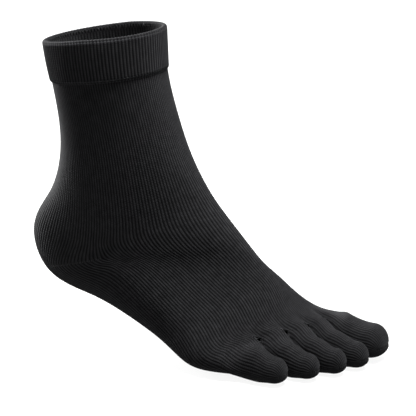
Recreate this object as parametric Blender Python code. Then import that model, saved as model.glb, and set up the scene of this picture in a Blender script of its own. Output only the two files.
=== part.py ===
"""A knitted toe sock for a right foot, as it stands on a foot that rises on its toes.

Frame: metres, +X towards the toes, +Y towards the big toe's side, +Z up. The origin is the middle of
the opening where the leg goes in. The pieces are the doubled cuff, the leg, the foot, the turned heel
pocket and five toe pockets that are each closed by a linked seam.

The skin is one smooth surface, worked out from the tables below. It is cut along its courses and
wales into the pieces, and each piece gets its wall towards the inside.
"""

import bpy
import numpy as np

# Driving dimensions of the sock on the foot, in metres.
FOOT_LENGTH = 0.232  # heel to big toe tip along the floor, with the heel lifted
SOCK_HEIGHT = 0.197  # floor to the rim of the cuff
BALL_WIDTH = 0.096  # across the ball of the foot
TOE_HEIGHT = 0.0170  # a lesser toe, floor to its top at the tip's bulb
WALL = 0.0015  # one layer of ribbed knit
CUFF_WALL = 0.0030  # two layers, folded over at the rim
CUFF_PROUD = 0.0010  # how far the cuff stands out from the leg
TOE_GAP = 0.0007  # clear space between neighbouring toes at their widest
WEB_NOSE = 0.0040  # how far the crotch between two toes bulges forward
WEB_OPENING = 0.0007  # how far a toe draws away from the crotch sideways
WEB_VALLEY = 0.0028  # depth of the groove between two toes where they part
TOE_COLLAR = 0.0065  # length of toe past each crotch that is meshed more closely
KNIT_GAP = 0.0003  # clearance between two pieces that are knitted together

# Cross-sections of the tube, from the rim to the roots of the toes. The front point lies on the shin
# or instep and the back point on the calf, heel or sole. The side point is where the section is
# widest. x is a share of FOOT_LENGTH and z of SOCK_HEIGHT. The columns from half_width to arch are
# shares of BALL_WIDTH, and the two powers square the section's front and its back.
SECTION_COLUMNS = (
    "front_x", "front_z", "back_x", "back_z", "side_x", "side_z",
    "half_width", "ridge_y", "slant", "bow", "arch", "front_power", "back_power",
)
SECTIONS = np.array((
    # rim, cuff edge, lower leg, ankle, ankle bend
    (0.388, 1.049, 0.054, 0.990, 0.228, 1.026, 0.350, 0.00, 0.00, 0.00, 0.00, 2.1, 2.1),
    (0.394, 0.911, 0.078, 0.860, 0.239, 0.886, 0.345, 0.00, 0.00, 0.00, 0.00, 2.1, 2.1),
    (0.423, 0.782, 0.095, 0.746, 0.255, 0.756, 0.330, 0.00, 0.00, 0.00, 0.00, 2.1, 2.1),
    (0.467, 0.645, 0.094, 0.624, 0.272, 0.604, 0.330, 0.00, 0.00, 0.00, 0.00, 2.1, 2.0),
    (0.520, 0.533, 0.060, 0.492, 0.284, 0.431, 0.335, 0.02, 0.00, 0.00, 0.00, 2.0, 2.1),
    # back of the heel, its corner, its sole
    (0.564, 0.464, 0.006, 0.365, 0.289, 0.365, 0.335, 0.03, 0.00, 0.00, 0.00, 2.0, 2.2),
    (0.608, 0.399, 0.060, 0.217, 0.299, 0.325, 0.335, 0.05, 0.00, 0.00, 0.00, 2.0, 2.4),
    (0.642, 0.345, 0.206, 0.157, 0.324, 0.289, 0.345, 0.08, 0.00, 0.00, 0.02, 1.9, 2.5),
    # arch, front of the arch, ball, bases and roots of the toes
    (0.674, 0.296, 0.336, 0.107, 0.440, 0.203, 0.370, 0.10, 0.02, 0.00, 0.06, 1.8, 2.5),
    (0.706, 0.250, 0.442, 0.059, 0.545, 0.135, 0.405, 0.12, 0.04, 0.02, 0.04, 1.9, 2.6),
    (0.738, 0.193, 0.556, 0.014, 0.638, 0.088, 0.455, 0.11, 0.10, 0.06, 0.00, 2.1, 2.8),
    (0.770, 0.154, 0.668, 0.000, 0.728, 0.062, 0.480, 0.10, 0.17, 0.10, 0.00, 2.3, 3.0),
    (0.806, 0.137, 0.790, 0.002, 0.810, 0.055, 0.480, 0.11, 0.21, 0.16, 0.00, 2.8, 2.8),
))
CUFF_EDGE, LEG_END, TOE_ROOTS = 1.0, 5.6, 12.0  # places of sections in the table
HEEL_PLACES = (4.4, 6.8)  # the heel pocket lies between these places of the table
HEEL_WALES = (70.0, 134.0)  # and between these wales, on the back and the sole

# Toes from the little one to the big one. wales is the count across the top, tip_x a share of
# FOOT_LENGTH, half_width of BALL_WIDTH, and height a multiple of TOE_HEIGHT.
TOE_NAMES = ("little_toe", "fourth_toe", "third_toe", "second_toe", "big_toe")
TOE_COLUMNS = ("wales", "tip_x", "half_width", "height")
TOES = dict(zip(TOE_COLUMNS, np.array((
    (16, 0.830, 0.086, 1.00),
    (10, 0.893, 0.081, 0.99),
    (9, 0.943, 0.082, 1.00),
    (11, 0.980, 0.085, 1.02),
    (22, 0.999, 0.140, 1.29),
)).T))
WEB_WALES = 8  # wales down each crotch
WEB_REACH = 2.0  # wales to either side over which the groove between two toes fades
WEB_TURN = 3.2  # wales over which the side of a toe turns into the crotch
WEB_RUN = 1.3  # places of the table over which the grooves grow towards the toes
TIPS_SHIFT = 0.010  # share of BALL_WIDTH by which the row of toe tips lies towards the big toe

# Side shape of a toe from its root to the start of its rounded cap. along is a share of that length,
# top, bottom and side are shares of the toe's height, and width is a share of its half width.
PROFILE_COLUMNS = ("along", "top", "bottom", "side", "width")
LESSER_PROFILE = np.array((
    (0.00, 1.38, 0.06, 0.55, 0.97),
    (0.30, 1.31, 0.05, 0.52, 0.97),
    (0.65, 1.21, 0.02, 0.47, 0.99),
    (1.00, 1.00, 0.08, 0.41, 1.00),
))
BIG_PROFILE = np.array((
    (0.00, 1.36, 0.06, 0.50, 0.94),
    (0.30, 1.24, 0.05, 0.48, 0.93),
    (0.65, 1.09, 0.02, 0.45, 0.97),
    (1.00, 1.03, 0.09, 0.42, 1.00),
))
TOE_POWER = 2.3  # squares the cross-section of a toe
CAP_LENGTH = 0.48  # a toe's rounded cap, as a share of its height
SEAM_WIDTH = 0.74  # share of the toe's width that its closing seam spans
TOE_BLEND = 0.48  # share of the toe's length over which the root passes into the toe's own tube

TOP_WALES = TOES["wales"].sum()  # wales over the top of the foot, and as many run under it
RING_STEPS = 181  # points on the fine ring from which the wales are read

# How finely the pieces are meshed.
TOE_TOP_STEPS = (6, 4, 4, 4, 8)  # columns across the top of each toe
WEB_STEPS = 4  # columns down each crotch
TUBE_STEP = 0.36  # rows of the tube, in places of the table
COLLAR_STEPS, TOE_STEPS, CAP_STEPS = 2, 4, 4
ROLL_STEPS = 4  # round each edge of the cuff


def cubic_spline(knots, values, at):
    """The natural cubic spline through one row of values for each knot, read at the places in at."""
    step = np.diff(knots)[:, None]
    slope = np.diff(values, axis=0) / step
    system = np.eye(len(knots))
    target = np.zeros_like(values)
    for i in range(1, len(knots) - 1):
        system[i, i - 1 : i + 2] = step[i - 1, 0], 2 * (step[i - 1, 0] + step[i, 0]), step[i, 0]
        target[i] = 6 * (slope[i] - slope[i - 1])
    bend = np.linalg.solve(system, target)
    k = np.clip(np.searchsorted(knots, at) - 1, 0, len(knots) - 2)
    h = step[k]
    before = (at - knots[k])[:, None]
    after = h - before
    curve = (bend[k] * after**3 + bend[k + 1] * before**3) / (6 * h)
    line = (values[k] / h - bend[k] * h / 6) * after + (values[k + 1] / h - bend[k + 1] * h / 6) * before
    return curve + line


def smoothstep(x):
    x = np.clip(x, 0.0, 1.0)
    return x * x * (3 - 2 * x)


def signed_power(x, exponent):
    return np.sign(x) * np.abs(x) ** exponent


def unit(vectors):
    return vectors / np.maximum(np.linalg.norm(vectors, axis=-1, keepdims=True), 1e-12)


def even_angles(share, ring):
    """Angles from 0 to half a turn that share out a ring's length evenly. ring gives points at angles."""
    fine = np.linspace(0, np.pi, RING_STEPS)
    run = np.cumsum(np.linalg.norm(np.diff(ring(fine), axis=0), axis=1))
    run = np.concatenate([[0], run]) / run[-1]
    return np.interp(share, run, fine)


def section_points(angles, places):
    """The skin at angles round the tube, 0 on the front and a quarter turn on the big toe's side."""
    length, height, width = FOOT_LENGTH, SOCK_HEIGHT, BALL_WIDTH
    scale = [length, height, length, height, length, height, width, width, width, width, width, 1, 1]
    rows = cubic_spline(np.arange(len(SECTIONS)), SECTIONS * scale, places)
    v = dict(zip(SECTION_COLUMNS, rows.T))
    cos, sin = np.cos(angles), np.sin(angles)
    exponent = 2 / np.where(cos > 0, v["front_power"], v["back_power"])
    up, side = signed_power(cos, exponent), signed_power(sin, exponent)
    x = v["side_x"] + np.where(cos > 0, v["front_x"] - v["side_x"], v["side_x"] - v["back_x"]) * up
    z = v["side_z"] + np.where(cos > 0, v["front_z"] - v["side_z"], v["side_z"] - v["back_z"]) * up
    x = x + v["slant"] * side - v["bow"] * side**2
    y = v["half_width"] * side + v["ridge_y"] * smoothstep(up)
    z = z + v["arch"] * smoothstep(-up) * smoothstep(side)
    return np.stack([x, y, z], axis=-1)


def web_tops():
    """The wales on top of the foot at which two neighbouring toes part."""
    return np.cumsum(TOES["wales"][:-1])


def tube_points(wales, places):
    """The skin of leg and foot. Wale 0 is the outer side, and the wales run over the top from there."""
    wales, places = np.broadcast_arrays(np.asarray(wales, float), np.asarray(places, float))
    shape = wales.shape
    wales, places = wales.ravel(), places.ravel()
    ridge = TOP_WALES / 2
    turned = np.mod(wales + ridge, 2 * TOP_WALES) - ridge
    share = np.abs(turned - ridge) / TOP_WALES
    sign = np.where(turned < ridge, -1.0, 1.0)
    angles = np.zeros(wales.shape)
    for place in np.unique(places):
        for way in (-1.0, 1.0):
            at = (places == place) & (sign == way)
            if at.any():
                angles[at] = way * even_angles(
                    share[at], lambda fine: section_points(way * fine, np.full(len(fine), place))
                )
    points = section_points(angles, places)
    near = smoothstep((places - TOE_ROOTS + WEB_RUN) / WEB_RUN) * WEB_VALLEY
    for web in web_tops():
        points[:, 2] -= near * np.exp(-(((wales - web) / WEB_REACH) ** 2))
        points[:, 2] += near * np.exp(-(((2 * TOP_WALES - wales - web) / WEB_REACH) ** 2)) * 0.6
    return points.reshape(*shape, 3)


def web_points(web, share):
    """The crotch at a web, from its top at share 0 to its bottom at share 1, bulging forward."""
    top = tube_points([web], [TOE_ROOTS])
    bottom = tube_points([2 * TOP_WALES - web], [TOE_ROOTS])
    share = np.asarray(share, float)[:, None]
    points = top + (bottom - top) * share
    points[:, 0] += WEB_NOSE * (4 * share * (1 - share))[:, 0] ** 1.5
    return points


def toe_layout(toe):
    """The wales of a toe's sides: its first wale, its top's count, and the web wales at either side."""
    first = TOES["wales"][:toe].sum()
    outer = WEB_WALES / 2 if toe > 0 else 0.0
    inner = WEB_WALES / 2 if toe < len(TOE_NAMES) - 1 else 0.0
    return first, TOES["wales"][toe], outer, inner


def toe_half(toe):
    """Wales in half the round of a toe, from the middle of its outer side to that of its inner side."""
    _, top, outer, inner = toe_layout(toe)
    return top + outer + inner


def toe_root(toe, columns):
    """Where a toe's wales start, which way they leave, and how far each belongs to a crotch."""
    first, top, outer, inner = toe_layout(toe)
    half = toe_half(toe)
    under = columns > half
    over = np.where(under, 2 * half - columns, columns)
    wale = np.clip(over - outer, 0, top) + first
    wale = np.where(under, 2 * TOP_WALES - wale, wale)
    start = tube_points(wale, TOE_ROOTS)
    leave = unit(start - tube_points(wale, TOE_ROOTS - 0.05))
    side = np.zeros(len(columns))
    for web, inside, way in ((first, outer - over, 1.0), (first + top, over - outer - top, -1.0)):
        down = inside > 0
        if down.any():
            share = inside[down] / WEB_WALES
            start[down] = web_points(web, np.where(under[down], 1 - share, share))
        if web in web_tops():
            side += way * smoothstep(0.5 + inside / WEB_TURN)
    return start, leave, side


def toe_bounds():
    """The lines between the toes in plan: for each line its x and y at the roots and at the tips."""
    widths = TOES["half_width"] * BALL_WIDTH
    tips = np.cumsum(np.concatenate([[0], 2 * widths]))
    tips += TIPS_SHIFT * BALL_WIDTH - tips[-1] / 2
    caps = TOES["tip_x"] * FOOT_LENGTH - CAP_LENGTH * TOES["height"] * TOE_HEIGHT
    lines = []
    edges = tube_points([0.0, TOP_WALES], [TOE_ROOTS, TOE_ROOTS])
    lines.append((edges[0, 0], edges[0, 1], caps[0], tips[0]))
    for i, web in enumerate(web_tops()):
        middle = web_points(web, [0.5])[0]
        lines.append((middle[0], middle[1], (caps[i] + caps[i + 1]) / 2, tips[i + 1]))
    lines.append((edges[1, 0], edges[1, 1], caps[-1], tips[-1]))
    return np.array(lines)


def line_y(line, x):
    """The y of a line between two toes, at an x."""
    return line[1] + (line[3] - line[1]) * smoothstep((x - line[0]) / (line[2] - line[0]))


def toe_start(toe):
    """The x at which a toe's own tube starts, in the middle of its root."""
    first, top, _, _ = toe_layout(toe)
    return tube_points([first + top / 2], [TOE_ROOTS])[0, 0]


def toe_length(toe):
    """From a toe's root to the start of its cap."""
    cap = CAP_LENGTH * TOES["height"][toe] * TOE_HEIGHT
    return TOES["tip_x"][toe] * FOOT_LENGTH - cap - toe_start(toe)


def toe_tube(toe, columns, along, starts):
    """A toe's own tube. along runs from 0 at the x in starts to 1 at the cap and 2 at the closing seam."""
    profile = BIG_PROFILE if toe == len(TOE_NAMES) - 1 else LESSER_PROFILE
    mirrored = np.vstack([profile, profile[-2::-1]])
    mirrored[len(profile) :, 0] = 2 - mirrored[len(profile) :, 0]
    cap = toe_start(toe) + toe_length(toe)
    x = starts + (cap - starts) * np.minimum(along, 1.0)
    straight = np.clip((x - toe_start(toe)) / toe_length(toe), 0.0, 1.0)
    v = dict(zip(PROFILE_COLUMNS, cubic_spline(mirrored[:, 0], mirrored, straight).T))
    outer, inner = (line_y(line, x) for line in toe_bounds()[toe : toe + 2])
    half_width = ((inner - outer) * v["width"] - TOE_GAP) / 2
    height = TOES["height"][toe] * TOE_HEIGHT
    half = toe_half(toe)
    share = np.where(columns > half, 2 * half - columns, columns) / half
    exponent = 2 / TOE_POWER
    shape = [TOES["half_width"][toe] * BALL_WIDTH, height / 2]
    angles = even_angles(
        share, lambda fine: np.stack([signed_power(np.cos(fine), exponent), np.sin(fine) ** exponent], 1) * shape
    )
    squeeze = np.cos(np.clip(along - 1, 0, 1) * np.pi / 2)
    across = -signed_power(np.cos(angles), exponent) * (SEAM_WIDTH + (1 - SEAM_WIDTH) * squeeze)
    up = np.sin(angles) ** exponent * squeeze * np.where(columns > half, -1.0, 1.0)
    level = v["side"] + np.where(up > 0, v["top"] - v["side"], v["side"] - v["bottom"]) * up
    bulge = np.maximum(1 - np.abs(across) ** TOE_POWER - np.abs(up) ** TOE_POWER, 0)
    x = x + CAP_LENGTH * height * np.where(along > 1, np.sqrt(bulge), 0)
    return np.stack([x, (outer + inner) / 2 + half_width * across, level * height], axis=-1)


def toe_points(toe, columns, along):
    """The skin of a toe, from the foot's ring and the crotches at along 0 to the closing seam at 2."""
    columns, along = np.broadcast_arrays(np.asarray(columns, float), np.asarray(along, float))
    shape = columns.shape
    columns, along = columns.ravel(), along.ravel()
    start, leave, side = toe_root(toe, columns)
    run = (along * (toe_start(toe) + toe_length(toe) - start[:, 0]))[:, None]
    turned = WEB_OPENING * np.tanh(run / WEB_OPENING)
    crotch = (run - turned) * [1.0, 0.0, 0.0] + turned * np.sign(side)[:, None] * [0.0, 1.0, 0.0]
    share = np.abs(side)[:, None]
    root = start + leave * run * (1 - share) + crotch * share
    lines = toe_bounds()[toe : toe + 2]
    middle = np.where(side > 0, line_y(lines[0], root[:, 0]), line_y(lines[1], root[:, 0]))
    begun = np.where(side > 0, lines[0, 1], lines[1, 1])
    root[:, 1] += np.abs(side) * (middle - begun)
    blend = smoothstep(along / TOE_BLEND)[:, None]
    points = root * (1 - blend) + toe_tube(toe, columns, along, start[:, 0]) * blend
    for line, way, web in ((lines[0], 1, toe - 1), (lines[1], -1, toe)):
        if 0 <= web < len(TOE_NAMES) - 1:
            clear = TOE_GAP / 2 * smoothstep((points[:, 0] - line[0] + WEB_NOSE) / WEB_NOSE)
            limit = line_y(line, points[:, 0]) + way * clear
            points[:, 1] = way * np.maximum(way * points[:, 1], way * limit)
    return points.reshape(*shape, 3)


def leg_opening():
    """The middle of the opening where the leg goes in."""
    return tube_points([TOP_WALES / 2, TOP_WALES * 1.5], [0.0, 0.0]).mean(axis=0)


def toe_columns(toe):
    """The columns round a toe: the same wales as the tube's columns, and the crotch's own."""
    _, top, outer, inner = toe_layout(toe)
    half = []
    if outer:
        half.extend(np.linspace(0, outer, WEB_STEPS // 2 + 1)[:-1])
    half.extend(outer + np.linspace(0, top, TOE_TOP_STEPS[toe] + 1))
    if inner:
        half.extend(outer + top + np.linspace(0, inner, WEB_STEPS // 2 + 1)[1:])
    half = np.array(half)
    return np.concatenate([half, 2 * toe_half(toe) - half[-2:0:-1]])


def tube_columns():
    over = [np.linspace(0, top, steps + 1)[:-1] for top, steps in zip(TOES["wales"], TOE_TOP_STEPS)]
    over = np.concatenate([part + first for part, first in zip(over, [0, *web_tops()])])
    return np.concatenate([over, [TOP_WALES], 2 * TOP_WALES - over[:0:-1]])


def nearest(values, wanted):
    return int(np.argmin(np.abs(np.asarray(values) - wanted)))


def whole_skin():
    """The skin below the cuff as one mesh: points, faces, and the piece that each face belongs to."""
    columns = tube_columns()
    count = len(columns)
    stops = (CUFF_EDGE, HEEL_PLACES[0], LEG_END, HEEL_PLACES[1], TOE_ROOTS)
    places = [CUFF_EDGE]
    for low, high in zip(stops, stops[1:]):
        places.extend(np.linspace(low, high, round((high - low) / TUBE_STEP) + 1)[1:])
    points = list(tube_points(*np.meshgrid(columns, places)).reshape(-1, 3))
    faces, owners = [], []
    for r in range(len(places) - 1):
        for c in range(count):
            n = (c + 1) % count
            faces.append((r * count + c, (r + 1) * count + c, (r + 1) * count + n, r * count + n))
            place = (places[r] + places[r + 1]) / 2
            wale = (columns[c] + (columns[n] or 2 * TOP_WALES)) / 2
            heel = HEEL_PLACES[0] < place < HEEL_PLACES[1] and HEEL_WALES[0] < wale < HEEL_WALES[1]
            owners.append("heel_pocket" if heel else "leg" if place < LEG_END else "foot")
    webs = {}
    for toe, name in enumerate(TOE_NAMES):
        ring = toe_columns(toe)
        first, top, outer, inner = toe_layout(toe)
        row = []
        for column in ring:
            under = column > toe_half(toe)
            over = 2 * toe_half(toe) - column if under else column
            if outer <= over <= outer + top:
                wale = first + over - outer
                wale = 2 * TOP_WALES - wale if under else wale
                row.append((len(places) - 1) * count + nearest(columns, np.mod(wale, 2 * TOP_WALES)))
                continue
            web, inside = (toe - 1, outer - over) if over < outer else (toe, over - outer - top)
            share = inside / WEB_WALES
            key = web, round(1 - share if under else share, 4)
            if key not in webs:
                webs[key] = len(points)
                points.append(web_points(web_tops()[web], [key[1]])[0])
            row.append(webs[key])
        collar = TOE_COLLAR / toe_length(toe)
        stops = [
            *np.linspace(0, collar, COLLAR_STEPS + 1)[1:],
            *np.linspace(collar, 1, TOE_STEPS + 1)[1:],
            *np.linspace(1, 2, CAP_STEPS + 1)[1:],
        ]
        for number, along in enumerate(stops):
            new = toe_points(toe, ring, along)
            last = number == len(stops) - 1
            half = len(ring) // 2
            ahead = [len(points) + (min(i, len(ring) - i) if last else i) for i in range(len(ring))]
            points.extend(new[: half + 1] if last else new)
            for c in range(len(ring)):
                n = (c + 1) % len(ring)
                face = []
                for corner in (row[c], ahead[c], ahead[n], row[n]):
                    if corner not in face:
                        face.append(corner)
                faces.append(tuple(face))
                owners.append(name)
            row = ahead
    return np.array(points), faces, owners


def point_normals(points, faces):
    """The outward direction at each point, as the mean of its faces weighed by their areas."""
    normals = np.zeros_like(points)
    for face in faces:
        corners = points[list(face)]
        area = np.cross(corners[2] - corners[0], corners[-1] - corners[1])
        if len(face) == 3:
            area = np.cross(corners[1] - corners[0], corners[2] - corners[0])
        normals[list(face)] += area
    return unit(normals)


def wall_of(points, normals, faces):
    """A piece of the skin as a closed wall: drawn back from its neighbours, with its inner side and rims."""
    edges = {}
    for face in faces:
        for a, b in zip(face, (*face[1:], face[0])):
            edges[a, b] = face
    rim = [(a, b) for a, b in edges if (b, a) not in edges]
    outer = points.copy()
    shift = np.zeros_like(points)
    for a, b in rim:
        inward = unit(np.cross(normals[a] + normals[b], points[b] - points[a]))
        shift[[a, b]] += inward
    outer += unit(shift) * KNIT_GAP / 2
    used = sorted({i for face in faces for i in face})
    place = {point: i for i, point in enumerate(used)}
    inside = outer[used] - WALL * normals[used]
    count = len(used)
    solid = [tuple(place[i] for i in face) for face in faces]
    solid += [tuple(count + place[i] for i in reversed(face)) for face in faces]
    solid += [(place[b], place[a], count + place[a], count + place[b]) for a, b in rim]
    return np.vstack([outer[used], inside]), solid


def cuff_mesh():
    """The cuff: a doubled band swept round the leg, rolled over at the rim and at its lower edge."""
    columns = tube_columns()
    thick = CUFF_WALL / 2
    middle = CUFF_PROUD - thick
    rows = np.linspace(0, CUFF_EDGE, 5)
    skin = tube_points(*np.meshgrid(columns, rows))
    down = unit(np.gradient(skin, axis=0))
    round_ = np.roll(skin, -1, axis=1) - np.roll(skin, 1, axis=1)
    normals = unit(np.cross(down, round_))
    rings = [skin[i] + (middle + thick) * normals[i] for i in range(1, len(rows) - 1)]
    for end, way, steps in ((len(rows) - 1, -1, 1), (0, 1, -1)):
        for angle in np.linspace(0, np.pi, ROLL_STEPS + 1):
            out = middle + thick * np.cos(angle) * steps
            back = thick * (1 - np.sin(angle)) + (KNIT_GAP / 2 if end else 0)
            rings.append(skin[end] + out * normals[end] + back * way * down[end])
        if end:
            rings.extend(skin[i] + (middle - thick) * normals[i] for i in range(len(rows) - 2, 0, -1))
    count = len(columns)
    faces = []
    for r in range(len(rings)):
        ahead = (r + 1) % len(rings)
        for c in range(count):
            n = (c + 1) % count
            faces.append((r * count + c, ahead * count + c, ahead * count + n, r * count + n))
    return np.vstack(rings), faces


def knit_material(name, colour, roughness):
    material = bpy.data.materials.new(name)
    material.use_nodes = True
    shader = material.node_tree.nodes["Principled BSDF"]
    shader.inputs["Base Color"].default_value = (*colour, 1.0)
    shader.inputs["Roughness"].default_value = roughness
    return material


def add_piece(name, points, faces, material):
    mesh = bpy.data.meshes.new(name)
    mesh.from_pydata([tuple(point) for point in points], [], faces)
    mesh.materials.append(material)
    for polygon in mesh.polygons:
        polygon.use_smooth = True
    piece = bpy.data.objects.new(name, mesh)
    bpy.context.scene.collection.objects.link(piece)


def main():
    for thing in list(bpy.data.objects):
        bpy.data.objects.remove(thing, do_unlink=True)
    black = (0.012, 0.012, 0.013)
    points, faces, owners = whole_skin()
    normals = point_normals(points, faces)
    origin = leg_opening()
    for name in ("leg", "foot", "heel_pocket", *TOE_NAMES):
        own = [face for face, owner in zip(faces, owners) if owner == name]
        piece_points, piece_faces = wall_of(points, normals, own)
        add_piece(name, piece_points - origin, piece_faces, knit_material(name, black, 0.95))
    cuff_points, cuff_faces = cuff_mesh()
    add_piece("cuff", cuff_points - origin, cuff_faces, knit_material("cuff", black, 0.95))


main()
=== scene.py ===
"""Looks for the knitted toe sock: ribbed black yarn, a turned heel, linked toe seams and a pale studio.

The skin repeats the tables of the part's source, so every knitted piece lies on the solid it stands for.
Its columns follow the ribs and its rows follow the courses. One Geometry Nodes tree raises the ribs and
another one lays the stitches of the seams.
"""

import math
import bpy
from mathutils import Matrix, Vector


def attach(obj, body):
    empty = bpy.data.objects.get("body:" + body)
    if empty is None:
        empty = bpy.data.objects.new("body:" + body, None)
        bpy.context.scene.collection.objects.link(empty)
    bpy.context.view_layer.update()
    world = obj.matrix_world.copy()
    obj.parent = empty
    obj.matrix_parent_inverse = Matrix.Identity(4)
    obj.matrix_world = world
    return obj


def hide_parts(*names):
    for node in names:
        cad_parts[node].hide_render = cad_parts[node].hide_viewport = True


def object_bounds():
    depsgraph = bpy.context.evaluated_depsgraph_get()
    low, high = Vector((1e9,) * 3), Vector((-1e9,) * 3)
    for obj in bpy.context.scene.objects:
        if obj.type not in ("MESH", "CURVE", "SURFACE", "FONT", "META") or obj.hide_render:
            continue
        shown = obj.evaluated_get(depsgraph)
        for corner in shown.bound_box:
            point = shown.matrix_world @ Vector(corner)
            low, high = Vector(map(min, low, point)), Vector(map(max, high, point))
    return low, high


bl_info = {
    "name": "Toe Sock Knitter",
    "version": (1, 0, 0),
    "blender": (4, 5, 0),
    "location": "3D Viewport > Sidebar > Toe Sock",
    "description": "Knits the looks of a toe sock round its packed model and lights a pale studio",
    "category": "Object",
}

import bpy
import numpy as np
from bpy.props import FloatProperty, FloatVectorProperty, IntProperty, PointerProperty
from mathutils import Vector

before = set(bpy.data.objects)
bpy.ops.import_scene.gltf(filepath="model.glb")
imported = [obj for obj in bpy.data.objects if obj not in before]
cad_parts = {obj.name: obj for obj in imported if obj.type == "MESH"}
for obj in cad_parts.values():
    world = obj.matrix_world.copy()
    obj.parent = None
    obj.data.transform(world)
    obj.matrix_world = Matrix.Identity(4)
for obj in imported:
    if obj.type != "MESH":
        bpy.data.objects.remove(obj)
CAD_BOX = [list(corner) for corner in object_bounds()]
FLOOR = CAD_BOX[0][2]

# Driving dimensions of the sock on the foot, in metres, as in the part's source.
FOOT_LENGTH = 0.232
SOCK_HEIGHT = 0.197
BALL_WIDTH = 0.096
TOE_HEIGHT = 0.0170
CUFF_WALL = 0.0030
CUFF_PROUD = 0.0010
TOE_GAP = 0.0007
WEB_NOSE = 0.0040
WEB_OPENING = 0.0007
WEB_VALLEY = 0.0028

# Cross-sections of the tube, from the rim to the roots of the toes. The front point lies on the shin
# or instep and the back point on the calf, heel or sole. The side point is where the section is
# widest. x is a share of FOOT_LENGTH and z of SOCK_HEIGHT. The columns from half_width to arch are
# shares of BALL_WIDTH, and the two powers square the section's front and its back.
SECTION_COLUMNS = (
    "front_x", "front_z", "back_x", "back_z", "side_x", "side_z",
    "half_width", "ridge_y", "slant", "bow", "arch", "front_power", "back_power",
)
SECTIONS = np.array((
    # rim, cuff edge, lower leg, ankle, ankle bend
    (0.388, 1.049, 0.054, 0.990, 0.228, 1.026, 0.350, 0.00, 0.00, 0.00, 0.00, 2.1, 2.1),
    (0.394, 0.911, 0.078, 0.860, 0.239, 0.886, 0.345, 0.00, 0.00, 0.00, 0.00, 2.1, 2.1),
    (0.423, 0.782, 0.095, 0.746, 0.255, 0.756, 0.330, 0.00, 0.00, 0.00, 0.00, 2.1, 2.1),
    (0.467, 0.645, 0.094, 0.624, 0.272, 0.604, 0.330, 0.00, 0.00, 0.00, 0.00, 2.1, 2.0),
    (0.520, 0.533, 0.060, 0.492, 0.284, 0.431, 0.335, 0.02, 0.00, 0.00, 0.00, 2.0, 2.1),
    # back of the heel, its corner, its sole
    (0.564, 0.464, 0.006, 0.365, 0.289, 0.365, 0.335, 0.03, 0.00, 0.00, 0.00, 2.0, 2.2),
    (0.608, 0.399, 0.060, 0.217, 0.299, 0.325, 0.335, 0.05, 0.00, 0.00, 0.00, 2.0, 2.4),
    (0.642, 0.345, 0.206, 0.157, 0.324, 0.289, 0.345, 0.08, 0.00, 0.00, 0.02, 1.9, 2.5),
    # arch, front of the arch, ball, bases and roots of the toes
    (0.674, 0.296, 0.336, 0.107, 0.440, 0.203, 0.370, 0.10, 0.02, 0.00, 0.06, 1.8, 2.5),
    (0.706, 0.250, 0.442, 0.059, 0.545, 0.135, 0.405, 0.12, 0.04, 0.02, 0.04, 1.9, 2.6),
    (0.738, 0.193, 0.556, 0.014, 0.638, 0.088, 0.455, 0.11, 0.10, 0.06, 0.00, 2.1, 2.8),
    (0.770, 0.154, 0.668, 0.000, 0.728, 0.062, 0.480, 0.10, 0.17, 0.10, 0.00, 2.3, 3.0),
    (0.806, 0.137, 0.790, 0.002, 0.810, 0.055, 0.480, 0.11, 0.21, 0.16, 0.00, 2.8, 2.8),
))
CUFF_EDGE, LEG_END, TOE_ROOTS = 1.0, 5.6, 12.0
HEEL_PLACES = (4.4, 6.8)
HEEL_WALES = (71, 133)

# Toes from the little one to the big one, as in the part's source.
TOE_NAMES = ("little_toe", "fourth_toe", "third_toe", "second_toe", "big_toe")
TOE_COLUMNS = ("wales", "tip_x", "half_width", "height")
TOES = dict(zip(TOE_COLUMNS, np.array((
    (16, 0.830, 0.086, 1.00),
    (10, 0.893, 0.081, 0.99),
    (9, 0.943, 0.082, 1.00),
    (11, 0.980, 0.085, 1.02),
    (22, 0.999, 0.140, 1.29),
)).T))
WEB_WALES = 8
WEB_REACH = 2.0
WEB_TURN = 3.2
WEB_RUN = 1.3
TIPS_SHIFT = 0.010
PROFILE_COLUMNS = ("along", "top", "bottom", "side", "width")
LESSER_PROFILE = np.array((
    (0.00, 1.38, 0.06, 0.55, 0.97),
    (0.30, 1.31, 0.05, 0.52, 0.97),
    (0.65, 1.21, 0.02, 0.47, 0.99),
    (1.00, 1.00, 0.08, 0.41, 1.00),
))
BIG_PROFILE = np.array((
    (0.00, 1.36, 0.06, 0.50, 0.94),
    (0.30, 1.24, 0.05, 0.48, 0.93),
    (0.65, 1.09, 0.02, 0.45, 0.97),
    (1.00, 1.03, 0.09, 0.42, 1.00),
))
TOE_POWER = 2.3
CAP_LENGTH = 0.48
SEAM_WIDTH = 0.74
TOE_BLEND = 0.48
TOP_WALES = int(TOES["wales"].sum())
BACK_WALE = 1.5 * TOP_WALES
RING_STEPS = 181

# How the ribs run over the turned heel.
GORE_PLACE = 5.85  # the gore line lies at this place of the sections
GORE_SWING = 4.4  # wales by which a rib swings towards the gore line
GORE_KINK = 9.0  # wales a place by which the ribs lean above the gore line
GORE_REACHES = (1.1, 2.2)  # places above and below it over which the swing dies out
GORE_START = 114  # the gore line runs from this wale to the outer side, and as far on the inner side
GORE_FADES = (4, 3)  # wales over which the gore line fades in at its front and at the edge of the calf
GORE_WIDTH = 0.045  # places to either side over which the cloth pulls into the gore line
GORE_SINK = 0.5  # depth of the gore line beside that of a toe's closing seam

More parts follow.
